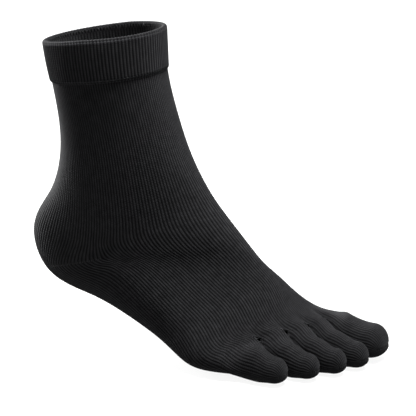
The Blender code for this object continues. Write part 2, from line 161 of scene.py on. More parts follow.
# Where the ribs show less than in full.
CALF_WALES = 22  # the calf's smooth strip fades out over so many wales to either side of its middle
CALF_END, CALF_FADE = 4.8, 1.2  # it ends at this place, and fades over so many places before it
BASES_START, BASES_FADE = 9.8, 1.6  # the ribs fade towards the toes from this place, over so many places
BASES_SPREAD = 1.4  # more than 1 widens the faded area towards both sides of the foot
CALF_LOSS, BASES_LOSS = 0.85, 0.75  # shares of the ribs' depth that are lost there
TOE_RIBBING = 0.75  # share of the ribs' depth along the toes
TIP_RIBBING = 0.35  # share of that which is left at a toe's closing seam
TOE_REGAIN = 0.5  # share of a toe's length over which its ribs come back
TIP_FADE = 0.006  # distance from the closing seam over which the ribs flatten, in metres
SEAM_REACH = 0.0011  # distance over which the closing seam pulls the cloth in, in metres
CREST_HEIGHT = 0.6  # share of a rib's depth that lies above the skin

# The relief and the tones of the yarn, with painted light on the rib crests and painted shade in their
# grooves.
STITCH_SLANT = 0.55  # courses by which a stitch drops from the middle of its rib to the sides
STITCH_EDGE = 0.3  # height of a stitch at the sides of its rib, beside that in the middle
FIBRE_SCALE, MOTTLE_SCALE = 1400, 260  # fineness of the loose fibres and of the soft mottle
FIBRE_HEIGHT = 0.55  # height of the loose fibres beside that of a stitch
BUMP_DEPTH = 0.00022  # height of the yarn's bump, in metres
# The last of them lightens the rib crests against their grooves: painted light on the crests, painted shade
# in the grooves.
MOTTLE_TONE, STITCH_TONE, PAINTED_CREST_LIGHT = 0.9, 0.35, 0.95  # how far each of them lightens the yarn
TONE_DROP = 0.92  # what is taken off their sum

# The stitches of the seams.
STITCH_SINK, STITCH_RISE = 1.2, 2.6  # thread radii by which a stitch's ends sink and its crown rises
STITCH_SIZES = (0.85, 1.12)  # range of the stitches' sizes
STITCH_LEAN = 0.35  # share of the pitch by which a stitch leans along its seam
GORE_STITCH = 0.8  # length of a gore line's stitch beside that of a toe seam
SEAM_SINK = 0.75  # share of the groove by which a toe's stitches lie in the cloth
PLY_LIGHT = 1.6  # how much lighter one ply of the thread is than the other

# How finely the looks are meshed.
RIB_STEPS = 6  # columns to a rib
LEG_ROWS, HEEL_ROWS, SOLE_ROWS, FOOT_ROWS = 38, 18, 12, 40
TOE_ROWS, CAP_ROWS = 32, 12
NUDGE = 0.01  # step in places, or along a toe, from which the skin's direction is read
TUCK = 0.01  # places by which the leg runs on under the cuff
GORE_ROWS = np.array([-0.12, -0.06, 0.0, 0.06, 0.12])  # places of the closer rows beside the gore line
CAP_BEND = 0.84  # the evenly spaced rows of a toe's cap end here, and closer ones follow
CAP_END = (0.88, 0.91, 0.94, 0.965, 0.985, 1.0)


class KnitSettings(bpy.types.PropertyGroup):
    """Sizes and colours of the knitted cloth."""

    rib_depth: FloatProperty(
        name="Rib depth", description="How far a rib stands above the grooves beside it",
        default=0.00030, min=0, max=0.002, unit="LENGTH", precision=5,
    )
    rib_fullness: FloatProperty(
        name="Rib fullness", description="How round and wide a rib is; lower values narrow the grooves",
        default=0.75, min=0.2, max=3, subtype="FACTOR",
    )
    cuff_rib_depth: FloatProperty(
        name="Cuff rib depth", description="How far a rib of the doubled cuff stands above its grooves",
        default=0.0004, min=0, max=0.002, unit="LENGTH", precision=5,
    )
    cuff_ribs: IntProperty(
        name="Cuff ribs", description="Ribs round the doubled cuff", default=108, min=40, max=160,
    )
    wall: FloatProperty(
        name="Cloth thickness", description="Thickness of one layer of the knitted cloth",
        default=0.0012, min=0.0005, max=0.0015, unit="LENGTH", precision=5,
    )
    course: FloatProperty(
        name="Course height", description="Height of one row of stitches",
        default=0.0011, min=0.0005, max=0.003, unit="LENGTH", precision=5,
    )
    yarn: FloatVectorProperty(
        name="Yarn", description="Colour of the yarn in the cloth", subtype="COLOR", size=4,
        default=(0.0005, 0.0005, 0.0006, 1.0), min=0, max=1,
    )
    # Lighter tone for the random mottle and the stitches, and painted light on the rib crests against painted
    # shade in the grooves.
    mottle_and_crest_light_yarn: FloatVectorProperty(
        name="Lighter yarn and crest light", description="Lighter colour for the mottle and the stitches, and painted light on the rib crests", subtype="COLOR",
        size=4, default=(0.0078, 0.0078, 0.0083, 1.0), min=0, max=1,
    )
    fuzz: FloatProperty(
        name="Fuzz", description="How strongly the loose fibres catch the light at the edges",
        default=0.02, min=0, max=1, subtype="FACTOR",
    )


class SeamSettings(bpy.types.PropertyGroup):
    """Sizes and colour of the linked and gore seams."""

    stitch_pitch: FloatProperty(
        name="Stitch pitch", description="Distance between two stitches of a linked toe seam",
        default=0.0014, min=0.0005, max=0.005, unit="LENGTH", precision=5,
    )
    stitch_length: FloatProperty(
        name="Stitch length", description="Length of a stitch across the seam",
        default=0.0017, min=0.0005, max=0.006, unit="LENGTH", precision=5,
    )
    thread_radius: FloatProperty(
        name="Thread radius", description="Radius of the seams' thread",
        default=0.00021, min=0.00005, max=0.001, unit="LENGTH", precision=5,
    )
    groove: FloatProperty(
        name="Seam groove", description="How deep a toe's closing seam pulls into the cloth",
        default=0.0007, min=0, max=0.002, unit="LENGTH", precision=5,
    )
    thread: FloatVectorProperty(
        name="Thread", description="Colour of the seams' thread", subtype="COLOR", size=4,
        default=(0.005, 0.005, 0.0055, 1.0), min=0, max=1,
    )


class StudioSettings(bpy.types.PropertyGroup):
    """The camera, the lights and the floor."""

    turn: FloatProperty(
        name="Camera turn", description="How far the camera stands round from the sock's outer side",
        default=math.radians(25), subtype="ANGLE",
    )
    height: FloatProperty(
        name="Camera height", description="The camera's angle above the horizon",
        default=math.radians(16), subtype="ANGLE",
    )
    distance: FloatProperty(
        name="Camera distance", description="From the camera to the middle of the view",
        default=1.4, min=0.3, unit="LENGTH",
    )
    view_width: FloatProperty(
        name="View width", description="Width of the view in the middle of the sock",
        default=0.26, min=0.05, unit="LENGTH",
    )
    floor: FloatVectorProperty(
        name="Floor", description="Colour of the floor and the sweep round it", subtype="COLOR", size=4,
        default=(0.08, 0.08, 0.08, 1.0), min=0, max=1,
    )
    floor_glow: FloatProperty(
        name="Floor glow", description="How brightly the floor shines by itself, as over a light table",
        default=0.90, min=0,
    )
    ambient: FloatProperty(
        name="Room light", description="Strength of the even light from all round", default=0.95, min=0,
    )


def cubic_spline(knots, values, at):
    """The natural cubic spline through one row of values for each knot, read at the places in at."""
    step = np.diff(knots)[:, None]
    slope = np.diff(values, axis=0) / step
    system = np.eye(len(knots))
    target = np.zeros_like(values)
    for i in range(1, len(knots) - 1):
        system[i, i - 1 : i + 2] = step[i - 1, 0], 2 * (step[i - 1, 0] + step[i, 0]), step[i, 0]
        target[i] = 6 * (slope[i] - slope[i - 1])
    bend = np.linalg.solve(system, target)
    k = np.clip(np.searchsorted(knots, at) - 1, 0, len(knots) - 2)
    h = step[k]
    before = (at - knots[k])[:, None]
    after = h - before
    curve = (bend[k] * after**3 + bend[k + 1] * before**3) / (6 * h)
    line = (values[k] / h - bend[k] * h / 6) * after + (values[k + 1] / h - bend[k + 1] * h / 6) * before
    return curve + line


def smoothstep(x):
    x = np.clip(x, 0.0, 1.0)
    return x * x * (3 - 2 * x)


def signed_power(x, exponent):
    return np.sign(x) * np.abs(x) ** exponent


def unit(vectors):
    return vectors / np.maximum(np.linalg.norm(vectors, axis=-1, keepdims=True), 1e-12)


def even_angles(share, ring):
    """Angles from 0 to half a turn that share out a ring's length evenly. ring gives points at angles."""
    fine = np.linspace(0, np.pi, RING_STEPS)
    run = np.cumsum(np.linalg.norm(np.diff(ring(fine), axis=0), axis=1))
    run = np.concatenate([[0], run]) / run[-1]
    return np.interp(share, run, fine)


def section_points(angles, places):
    """The skin at angles round the tube, 0 on the front and a quarter turn on the big toe's side."""
    length, height, width = FOOT_LENGTH, SOCK_HEIGHT, BALL_WIDTH
    scale = [length, height, length, height, length, height, width, width, width, width, width, 1, 1]
    rows = cubic_spline(np.arange(len(SECTIONS)), SECTIONS * scale, places)
    v = dict(zip(SECTION_COLUMNS, rows.T))
    cos, sin = np.cos(angles), np.sin(angles)
    exponent = 2 / np.where(cos > 0, v["front_power"], v["back_power"])
    up, side = signed_power(cos, exponent), signed_power(sin, exponent)
    x = v["side_x"] + np.where(cos > 0, v["front_x"] - v["side_x"], v["side_x"] - v["back_x"]) * up
    z = v["side_z"] + np.where(cos > 0, v["front_z"] - v["side_z"], v["side_z"] - v["back_z"]) * up
    x = x + v["slant"] * side - v["bow"] * side**2
    y = v["half_width"] * side + v["ridge_y"] * smoothstep(up)
    z = z + v["arch"] * smoothstep(-up) * smoothstep(side)
    return np.stack([x, y, z], axis=-1)


def web_tops():
    """The wales on top of the foot at which two neighbouring toes part."""
    return np.cumsum(TOES["wales"][:-1])


def tube_points(wales, places):
    """The skin of leg and foot. Wale 0 is the outer side, and the wales run over the top from there."""
    wales, places = np.broadcast_arrays(np.asarray(wales, float), np.asarray(places, float))
    shape = wales.shape
    wales, places = wales.ravel(), places.ravel()
    ridge = TOP_WALES / 2
    turned = np.mod(wales + ridge, 2 * TOP_WALES) - ridge
    share = np.abs(turned - ridge) / TOP_WALES
    sign = np.where(turned < ridge, -1.0, 1.0)
    angles = np.zeros(wales.shape)
    for place in np.unique(places):
        for way in (-1.0, 1.0):
            at = (places == place) & (sign == way)
            if at.any():
                angles[at] = way * even_angles(
                    share[at], lambda fine: section_points(way * fine, np.full(len(fine), place))
                )
    points = section_points(angles, places)
    near = smoothstep((places - TOE_ROOTS + WEB_RUN) / WEB_RUN) * WEB_VALLEY
    for web in web_tops():
        points[:, 2] -= near * np.exp(-(((wales - web) / WEB_REACH) ** 2))
        points[:, 2] += near * np.exp(-(((2 * TOP_WALES - wales - web) / WEB_REACH) ** 2)) * 0.6
    return points.reshape(*shape, 3)


def web_points(web, share):
    """The crotch at a web, from its top at share 0 to its bottom at share 1, bulging forward."""
    top = tube_points([web], [TOE_ROOTS])
    bottom = tube_points([2 * TOP_WALES - web], [TOE_ROOTS])
    share = np.asarray(share, float)[:, None]
    points = top + (bottom - top) * share
    points[:, 0] += WEB_NOSE * (4 * share * (1 - share))[:, 0] ** 1.5
    return points


def toe_layout(toe):
    """The wales of a toe's sides: its first wale, its top's count, and the web wales at either side."""
    first = TOES["wales"][:toe].sum()
    outer = WEB_WALES / 2 if toe > 0 else 0.0
    inner = WEB_WALES / 2 if toe < len(TOE_NAMES) - 1 else 0.0
    return first, TOES["wales"][toe], outer, inner


def toe_half(toe):
    """Wales in half the round of a toe, from the middle of its outer side to that of its inner side."""
    _, top, outer, inner = toe_layout(toe)
    return top + outer + inner


def folded(counts, half):
    """Counts round a tube, of which those past half of the round are counted back from its end."""
    return np.where(counts > half, 2 * half - counts, counts)


def toe_wales(toe, columns):
    """The wales of the foot from which a toe's columns go on."""
    first, top, outer, _ = toe_layout(toe)
    wale = np.clip(folded(columns, toe_half(toe)) - outer, 0, top) + first
    return np.where(columns > toe_half(toe), 2 * TOP_WALES - wale, wale)


def toe_root(toe, columns):
    """Where a toe's wales start, which way they leave, and how far each belongs to a crotch."""
    first, top, outer, inner = toe_layout(toe)
    under = columns > toe_half(toe)
    over = folded(columns, toe_half(toe))
    wale = toe_wales(toe, columns)
    start = tube_points(wale, TOE_ROOTS)
    leave = unit(start - tube_points(wale, TOE_ROOTS - 0.05))
    side = np.zeros(len(columns))
    for web, inside, way in ((first, outer - over, 1.0), (first + top, over - outer - top, -1.0)):
        down = inside > 0
        if down.any():
            share = inside[down] / WEB_WALES
            start[down] = web_points(web, np.where(under[down], 1 - share, share))
        if web in web_tops():
            side += way * smoothstep(0.5 + inside / WEB_TURN)
    return start, leave, side


def toe_bounds():
    """The lines between the toes in plan: for each line its x and y at the roots and at the tips."""
    widths = TOES["half_width"] * BALL_WIDTH
    tips = np.cumsum(np.concatenate([[0], 2 * widths]))
    tips += TIPS_SHIFT * BALL_WIDTH - tips[-1] / 2
    caps = TOES["tip_x"] * FOOT_LENGTH - CAP_LENGTH * TOES["height"] * TOE_HEIGHT
    lines = []
    edges = tube_points([0.0, TOP_WALES], [TOE_ROOTS, TOE_ROOTS])
    lines.append((edges[0, 0], edges[0, 1], caps[0], tips[0]))
    for i, web in enumerate(web_tops()):
        middle = web_points(web, [0.5])[0]
        lines.append((middle[0], middle[1], (caps[i] + caps[i + 1]) / 2, tips[i + 1]))
    lines.append((edges[1, 0], edges[1, 1], caps[-1], tips[-1]))
    return np.array(lines)


def line_y(line, x):
    """The y of a line between two toes, at an x."""
    return line[1] + (line[3] - line[1]) * smoothstep((x - line[0]) / (line[2] - line[0]))


def toe_start(toe):
    """The x at which a toe's own tube starts, in the middle of its root."""
    first, top, _, _ = toe_layout(toe)
    return tube_points([first + top / 2], [TOE_ROOTS])[0, 0]


def toe_length(toe):
    """From a toe's root to the start of its cap."""
    cap = CAP_LENGTH * TOES["height"][toe] * TOE_HEIGHT
    return TOES["tip_x"][toe] * FOOT_LENGTH - cap - toe_start(toe)


def toe_tube(toe, columns, along, starts):
    """A toe's own tube. along runs from 0 at the x in starts to 1 at the cap and 2 at the closing seam."""
    profile = BIG_PROFILE if toe == len(TOE_NAMES) - 1 else LESSER_PROFILE
    mirrored = np.vstack([profile, profile[-2::-1]])
    mirrored[len(profile) :, 0] = 2 - mirrored[len(profile) :, 0]
    cap = toe_start(toe) + toe_length(toe)
    x = starts + (cap - starts) * np.minimum(along, 1.0)
    straight = np.clip((x - toe_start(toe)) / toe_length(toe), 0.0, 1.0)
    v = dict(zip(PROFILE_COLUMNS, cubic_spline(mirrored[:, 0], mirrored, straight).T))
    outer, inner = (line_y(line, x) for line in toe_bounds()[toe : toe + 2])
    half_width = ((inner - outer) * v["width"] - TOE_GAP) / 2
    height = TOES["height"][toe] * TOE_HEIGHT
    half = toe_half(toe)
    share = folded(columns, half) / half
    exponent = 2 / TOE_POWER
    shape = [TOES["half_width"][toe] * BALL_WIDTH, height / 2]

    def half_ring(fine):
        return np.stack([signed_power(np.cos(fine), exponent), np.sin(fine) ** exponent], 1) * shape

    angles = even_angles(share, half_ring)
    squeeze = np.cos(np.clip(along - 1, 0, 1) * np.pi / 2)
    across = -signed_power(np.cos(angles), exponent) * (SEAM_WIDTH + (1 - SEAM_WIDTH) * squeeze)
    up = np.sin(angles) ** exponent * squeeze * np.where(columns > half, -1.0, 1.0)
    level = v["side"] + np.where(up > 0, v["top"] - v["side"], v["side"] - v["bottom"]) * up
    bulge = np.maximum(1 - np.abs(across) ** TOE_POWER - np.abs(up) ** TOE_POWER, 0)
    x = x + CAP_LENGTH * height * np.where(along > 1, np.sqrt(bulge), 0)
    return np.stack([x, (outer + inner) / 2 + half_width * across, level * height], axis=-1)


def toe_points(toe, columns, along):
    """The skin of a toe, from the foot's ring and the crotches at along 0 to the closing seam at 2."""
    columns, along = np.broadcast_arrays(np.asarray(columns, float), np.asarray(along, float))
    shape = columns.shape
    columns, along = columns.ravel(), along.ravel()
    start, leave, side = toe_root(toe, columns)
    run = (along * (toe_start(toe) + toe_length(toe) - start[:, 0]))[:, None]
    turned = WEB_OPENING * np.tanh(run / WEB_OPENING)
    crotch = (run - turned) * [1.0, 0.0, 0.0] + turned * np.sign(side)[:, None] * [0.0, 1.0, 0.0]
    share = np.abs(side)[:, None]
    root = start + leave * run * (1 - share) + crotch * share
    lines = toe_bounds()[toe : toe + 2]
    middle = np.where(side > 0, line_y(lines[0], root[:, 0]), line_y(lines[1], root[:, 0]))
    begun = np.where(side > 0, lines[0, 1], lines[1, 1])
    root[:, 1] += np.abs(side) * (middle - begun)
    blend = smoothstep(along / TOE_BLEND)[:, None]
    points = root * (1 - blend) + toe_tube(toe, columns, along, start[:, 0]) * blend
    for line, way, web in ((lines[0], 1, toe - 1), (lines[1], -1, toe)):
        if 0 <= web < len(TOE_NAMES) - 1:
            clear = TOE_GAP / 2 * smoothstep((points[:, 0] - line[0] + WEB_NOSE) / WEB_NOSE)
            limit = line_y(line, points[:, 0]) + way * clear
            points[:, 1] = way * np.maximum(way * points[:, 1], way * limit)
    return points.reshape(*shape, 3)


ORIGIN = tube_points([TOP_WALES / 2, BACK_WALE], [0.0, 0.0]).mean(axis=0)


def rib_wales(ribs, places):
    """The wale under each rib at a place. Round the heel the ribs swing out to a kink at the gore line."""
    back = np.clip(np.mod(ribs, 2 * TOP_WALES) / TOP_WALES - 1, 0, 1)
    above = np.maximum(GORE_PLACE - places, 0)
    below = np.maximum(places - GORE_PLACE, 0)
    fade = np.exp(-((above / GORE_REACHES[0]) ** 2) - below / GORE_REACHES[1])
    swing = (GORE_SWING - GORE_KINK * above) * fade
    return ribs + swing * np.sin(2 * np.pi * back)


def leg_ribbing(ribs, places):
    """How plainly the ribs show on leg and foot: softer down the calf and over the toes' bases."""
    wale = np.mod(ribs, 2 * TOP_WALES)
    calf = np.exp(-(((wale - BACK_WALE) / CALF_WALES) ** 2))
    calf = calf * smoothstep((CALF_END - places) / CALF_FADE)
    on_top = smoothstep(np.sin(np.pi * wale / TOP_WALES) * BASES_SPREAD)
    bases = smoothstep((places - BASES_START) / BASES_FADE) * on_top
    return (1 - CALF_LOSS * calf) * (1 - BASES_LOSS * bases)


def gore_groove(ribs, places):
    """How far the gore line pulls into the heel, from 0 to 1."""
    wale = np.mod(ribs, 2 * TOP_WALES)
    beside = np.abs(wale - BACK_WALE)
    front = smoothstep((beside - (GORE_START - BACK_WALE)) / GORE_FADES[0])
    reach = front * smoothstep((TOP_WALES / 2 - beside) / GORE_FADES[1])
    return reach * np.exp(-(((places - GORE_PLACE) / GORE_WIDTH) ** 2))


def stepped_rows(stops, counts):
    """Places from stop to stop, with the given count of steps between each two."""
    rows = [stops[0]]
    for low, high, count in zip(stops, stops[1:], counts):
        rows.extend(np.linspace(low, high, count + 1)[1:])
    return np.array(rows)


def courses(points, height):
    """The number of the course at each row of a grid, counted along the middle of its outer side."""
    run = np.linalg.norm(np.diff(points, axis=0), axis=2).mean(axis=1)
    return np.concatenate([[0], np.cumsum(run)]) / height


def outward_of(ahead, points):
    """The directions that point out of a grid's skin, whose columns close round."""
    round_ = np.roll(points, -1, axis=1) - np.roll(points, 1, axis=1)
    return unit(np.cross(ahead, round_))


def corner_uv(grid, r, c):
    """The rib and course counts at a corner, which go on past the last column."""
    return grid["ribs"][0, 0] + c / RIB_STEPS, grid["course"][r]


RELIEF_KINDS = {"ribs": "FLOAT", "ribbing": "FLOAT", "press": "FLOAT", "outward": "FLOAT_VECTOR"}


def wall_mesh(name, grid, keep, thickness, sealed=False):
    """A closed wall of cloth: the kept faces of a grid, a plainer inner side and the rims between them.

    The outer points come first, and the list of their places on the grid is returned with the mesh.
    Where sealed, the last row closes flat, and its two halves share their points.
    """
    rows, columns = grid["points"].shape[:2]
    ribs = columns // RIB_STEPS

    def outer(r, c):
        c = c % columns
        if sealed and r == rows - 1:
            c = min(c, columns - c)
        return r * columns + c

    def inner(r, k):
        k = k % ribs
        if sealed and r == rows - 1:
            k = min(k, ribs - k)
        return rows * columns + r * ribs + k

    def kept(r, k):
        return 0 <= r < rows - 1 and keep[r, (k % ribs) * RIB_STEPS]

    faces, counts, flat = [], [], []
    for r in range(rows - 1):
        for c in range(columns):
            if keep[r, c]:
                faces.append((outer(r, c), outer(r + 1, c), outer(r + 1, c + 1), outer(r, c + 1)))
                counts.append([corner_uv(grid, r + i, c + j) for i, j in ((0, 0), (1, 0), (1, 1), (0, 1))])
                flat.append(False)
    outer_faces = len(faces)
    for r in range(rows):
        for k in range(ribs):
            here, before, beside = kept(r, k), kept(r - 1, k), kept(r, k - 1)
            left, right = k * RIB_STEPS, (k + 1) * RIB_STEPS
            if here:
                faces.append((inner(r, k), inner(r, k + 1), inner(r + 1, k + 1), inner(r + 1, k)))
                flat.append(False)
            closed_end = sealed and r == rows - 1
            if here != before and not closed_end:
                edge = [outer(r, c) for c in range(left, right + 1)]
                rim = [*edge, inner(r, k + 1), inner(r, k)]
                faces.append(tuple(rim if here else reversed(rim)))
                flat.append(True)
            if r < rows - 1 and here != beside:
                rim = (outer(r, left), inner(r, k), inner(r + 1, k), outer(r + 1, left))
                faces.append(rim if here else tuple(reversed(rim)))
                flat.append(True)
    inside = (grid["points"] - thickness * grid["outward"])[:, ::RIB_STEPS]
    points = np.vstack([grid["points"].reshape(-1, 3), inside.reshape(-1, 3)])
    used = np.unique(np.concatenate([np.array(face) for face in faces]))
    place = np.zeros(len(points), int)
    place[used] = np.arange(len(used))
    mesh = bpy.data.meshes.new(name)
    mesh.from_pydata(points[used].tolist(), [], [tuple(place[list(face)]) for face in faces])
    mesh.polygons.foreach_set("use_smooth", [not one for one in flat])
    outside = used[used < rows * columns]
    for key, kind in RELIEF_KINDS.items():
        values = np.zeros((len(used), 3) if key == "outward" else len(used))
        values[: len(outside)] = grid[key].reshape(rows * columns, -1).squeeze()[outside]
        attribute = mesh.attributes.new(key, kind, "POINT")
        attribute.data.foreach_set("vector" if key == "outward" else "value", values.ravel())
    layer = mesh.uv_layers.new(name="stitches")
    loops = np.zeros((len(mesh.loops), 2))
    loops[: 4 * outer_faces] = np.array(counts).reshape(-1, 2)
    points_of_loops = np.zeros(len(mesh.loops), int)
    mesh.loops.foreach_get("vertex_index", points_of_loops)
    rest = points_of_loops[4 * outer_faces :]
    loops[4 * outer_faces :] = points[used][rest][:, [0, 2]] / grid["course_height"]
    layer.data.foreach_set("uv", loops.ravel())
    return mesh, outside


def node_tree(name, sockets):
    """An empty Geometry Nodes tree, what its named inputs give, and the node that takes what it makes.

    Each of the sockets is given as its name, its type, its default and its subtype.
    """
    tree = bpy.data.node_groups.new(name, "GeometryNodeTree")
    tree.interface.new_socket("Geometry", in_out="INPUT", socket_type="NodeSocketGeometry")
    tree.interface.new_socket("Geometry", in_out="OUTPUT", socket_type="NodeSocketGeometry")
    for label, kind, default, subtype in sockets:
        socket = tree.interface.new_socket(label, in_out="INPUT", socket_type=kind)
        if default is not None:
            socket.default_value = default
        if subtype:
            socket.subtype = subtype
    return tree, tree.nodes.new("NodeGroupInput").outputs, tree.nodes.new("NodeGroupOutput")


def set_inputs(tree, node, inputs):
    """Joins the inputs of a node to sockets, or sets them to plain values."""
    for key, value in inputs.items():
        if isinstance(value, bpy.types.NodeSocket):
            tree.links.new(value, node.inputs[key])
        else:
            node.inputs[key].default_value = value


def add_node(tree, kind, inputs=None, **settings):
    """A new node with its settings and its inputs."""
    node = tree.nodes.new(kind)
    for key, value in settings.items():
        setattr(node, key, value)
    set_inputs(tree, node, inputs or {})
    return node


def math_node(tree, operation, *inputs):
    """A Math node, whose inputs are sockets or numbers, as its output socket."""
    return add_node(tree, "ShaderNodeMath", dict(enumerate(inputs)), operation=operation).outputs[0]


def attribute_node(tree, name, kind="FLOAT"):
    """A Named Attribute node of a Geometry Nodes tree, as its output socket."""
    node = add_node(tree, "GeometryNodeInputNamedAttribute", {"Name": name}, data_type=kind)
    return node.outputs["Attribute"]


def painted_output(tree, geometry, given, made):
    """Ends a tree: its instances become real, and its Material input covers all of them."""
    realize = add_node(tree, "GeometryNodeRealizeInstances", {0: geometry})
    painted = {"Geometry": realize.outputs[0], "Material": given["Material"]}
    paint = add_node(tree, "GeometryNodeSetMaterial", painted)
    set_inputs(tree, made, {"Geometry": paint.outputs[0]})


def rib_relief_tree():
    """Raises the ribs of a knitted wall along its outward directions."""
    tree, given, made = node_tree("Rib Relief", (
        ("Rib Depth", "NodeSocketFloat", 0.0004, "DISTANCE"),
        ("Rib Fullness", "NodeSocketFloat", 0.75, "FACTOR"),
        ("Crest Height", "NodeSocketFloat", CREST_HEIGHT, "FACTOR"),
        ("Material", "NodeSocketMaterial", None, None),
    ))
    turn = math_node(tree, "MULTIPLY", attribute_node(tree, "ribs"), 2 * math.pi)
    wave = math_node(tree, "MULTIPLY_ADD", math_node(tree, "COSINE", turn), 0.5, 0.5)
    crest = math_node(tree, "POWER", wave, given["Rib Fullness"])
    level = math_node(tree, "SUBTRACT", crest, given["Crest Height"])
    depth = math_node(tree, "MULTIPLY", attribute_node(tree, "ribbing"), given["Rib Depth"])
    height = math_node(tree, "ADD", math_node(tree, "MULTIPLY", level, depth), attribute_node(tree, "press"))
    outward = attribute_node(tree, "outward", "FLOAT_VECTOR")
    offset = add_node(tree, "ShaderNodeVectorMath", {0: outward, "Scale": height}, operation="SCALE")
    moved = {"Geometry": given["Geometry"], "Offset": offset.outputs[0]}
    place = add_node(tree, "GeometryNodeSetPosition", moved)
    painted_output(tree, place.outputs[0], given, made)
    return tree


def seam_stitch_tree():
    """Lays short curved stitches across a line, each turned to the line and to the cloth under it."""
    tree, given, made = node_tree("Seam Stitches", (
        ("Pitch", "NodeSocketFloat", 0.0014, "DISTANCE"),
        ("Length", "NodeSocketFloat", 0.0017, "DISTANCE"),
        ("Thread Radius", "NodeSocketFloat", 0.0002, "DISTANCE"),
        ("Slant", "NodeSocketFloat", 0.0004, "DISTANCE"),
        ("Seed", "NodeSocketInt", 4, None),
        ("Material", "NodeSocketMaterial", None, None),
    ))
    radius = given["Thread Radius"]
    line = add_node(tree, "GeometryNodeMeshToCurve", {0: given["Geometry"]})
    spacing = {"Curve": line.outputs[0], "Length": given["Pitch"]}
    spaced = add_node(tree, "GeometryNodeResampleCurve", spacing, mode="LENGTH")
    start, end = (
        add_node(tree, "ShaderNodeCombineXYZ", {
            "X": math_node(tree, "MULTIPLY", given["Slant"], way),
            "Y": math_node(tree, "MULTIPLY", given["Length"], way),
            "Z": math_node(tree, "MULTIPLY", radius, -STITCH_SINK),
        })
        for way in (-0.5, 0.5)
    )
    crown = add_node(tree, "ShaderNodeCombineXYZ", {"Z": math_node(tree, "MULTIPLY", radius, STITCH_RISE)})
    bend = add_node(tree, "GeometryNodeCurveQuadraticBezier", {
        "Resolution": 5, "Start": start.outputs[0], "Middle": crown.outputs[0], "End": end.outputs[0],
    })
    ring = add_node(tree, "GeometryNodeCurvePrimitiveCircle", {"Resolution": 6, "Radius": radius})
    thread = add_node(tree, "GeometryNodeCurveToMesh", {
        "Fill Caps": True, "Curve": bend.outputs[0], "Profile Curve": ring.outputs["Curve"],
    })
    align = "FunctionNodeAlignRotationToVector"
    upright = add_node(tree, align, {"Vector": attribute_node(tree, "outward", "FLOAT_VECTOR")}, axis="Z")
    tangent = add_node(tree, "GeometryNodeInputTangent").outputs[0]
    turned = {"Rotation": upright.outputs[0], "Vector": tangent}
    along = add_node(tree, align, turned, axis="X", pivot_axis="Z")
    drawn = {2: STITCH_SIZES[0], 3: STITCH_SIZES[1], "Seed": given["Seed"]}
    vary = add_node(tree, "FunctionNodeRandomValue", drawn, data_type="FLOAT")
    laid = add_node(tree, "GeometryNodeInstanceOnPoints", {
        "Points": spaced.outputs[0], "Instance": thread.outputs[0],
        "Rotation": along.outputs[0], "Scale": vary.outputs[1],
    })
    painted_output(tree, laid.outputs[0], given, made)
    return tree


def shared_tree(name, build):
    """The tree of that name, built the first time it is asked for."""
    return bpy.data.node_groups.get(name) or build()


def grown_mesh(name, mesh, tree, inputs):
    """A plain mesh of what the tree makes of a mesh, with its inputs given by name."""
    holder = bpy.data.objects.new(name + "_plain", mesh)
    bpy.context.scene.collection.objects.link(holder)
    modifier = holder.modifiers.new(tree.name, "NODES")
    modifier.node_group = tree
    for item in tree.interface.items_tree:
        if item.item_type == "SOCKET" and item.in_out == "INPUT" and item.name in inputs:
            modifier[item.identifier] = inputs[item.name]
    evaluated = holder.evaluated_get(bpy.context.evaluated_depsgraph_get())
    made = bpy.data.meshes.new_from_object(evaluated)
    made.name = name
    bpy.data.objects.remove(holder, do_unlink=True)
    bpy.data.meshes.remove(mesh)
    return made


def add_piece(name, mesh, replaced):
    """A finished piece that rides on the sock, and stands for the CAD node named in replaced, if any."""
    piece = bpy.data.objects.new(name, mesh)
    bpy.context.scene.collection.objects.link(piece)
    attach(piece, "root")
    if replaced:
        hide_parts(replaced)
    return piece


def vertex_places(mesh):
    places = np.zeros(len(mesh.vertices) * 3, np.float32)
    mesh.vertices.foreach_get("co", places)
    return places.reshape(-1, 3).astype(float)


def set_cloth_normals(mesh, outside, normals):
    """Gives the outer side of a wall the skin's own normals, so that two pieces shade as one cloth."""
    count = len(mesh.loops)
    corners = np.zeros(count, int)
    mesh.loops.foreach_get("vertex_index", corners)
    smooth = np.zeros(len(mesh.polygons), bool)
    mesh.polygons.foreach_get("use_smooth", smooth)
    sizes = np.zeros(len(mesh.polygons), int)
    mesh.polygons.foreach_get("loop_total", sizes)
    on_skin = np.repeat(smooth, sizes) & (corners < len(outside))
    custom = np.zeros((count, 3))
    custom[on_skin] = normals.reshape(-1, 3)[outside][corners[on_skin]]
    mesh.normals_split_custom_set(custom.tolist())
    for key in RELIEF_KINDS:
        mesh.attributes.remove(mesh.attributes[key])


def textured_material(name):
    """A new material, with its node tree, its shader and the coordinates for its textures."""
    material = bpy.data.materials.new(name)
    material.use_nodes = True
    tree = material.node_tree
    return material, tree, tree.nodes["Principled BSDF"], tree.nodes.new("ShaderNodeTexCoord").outputs


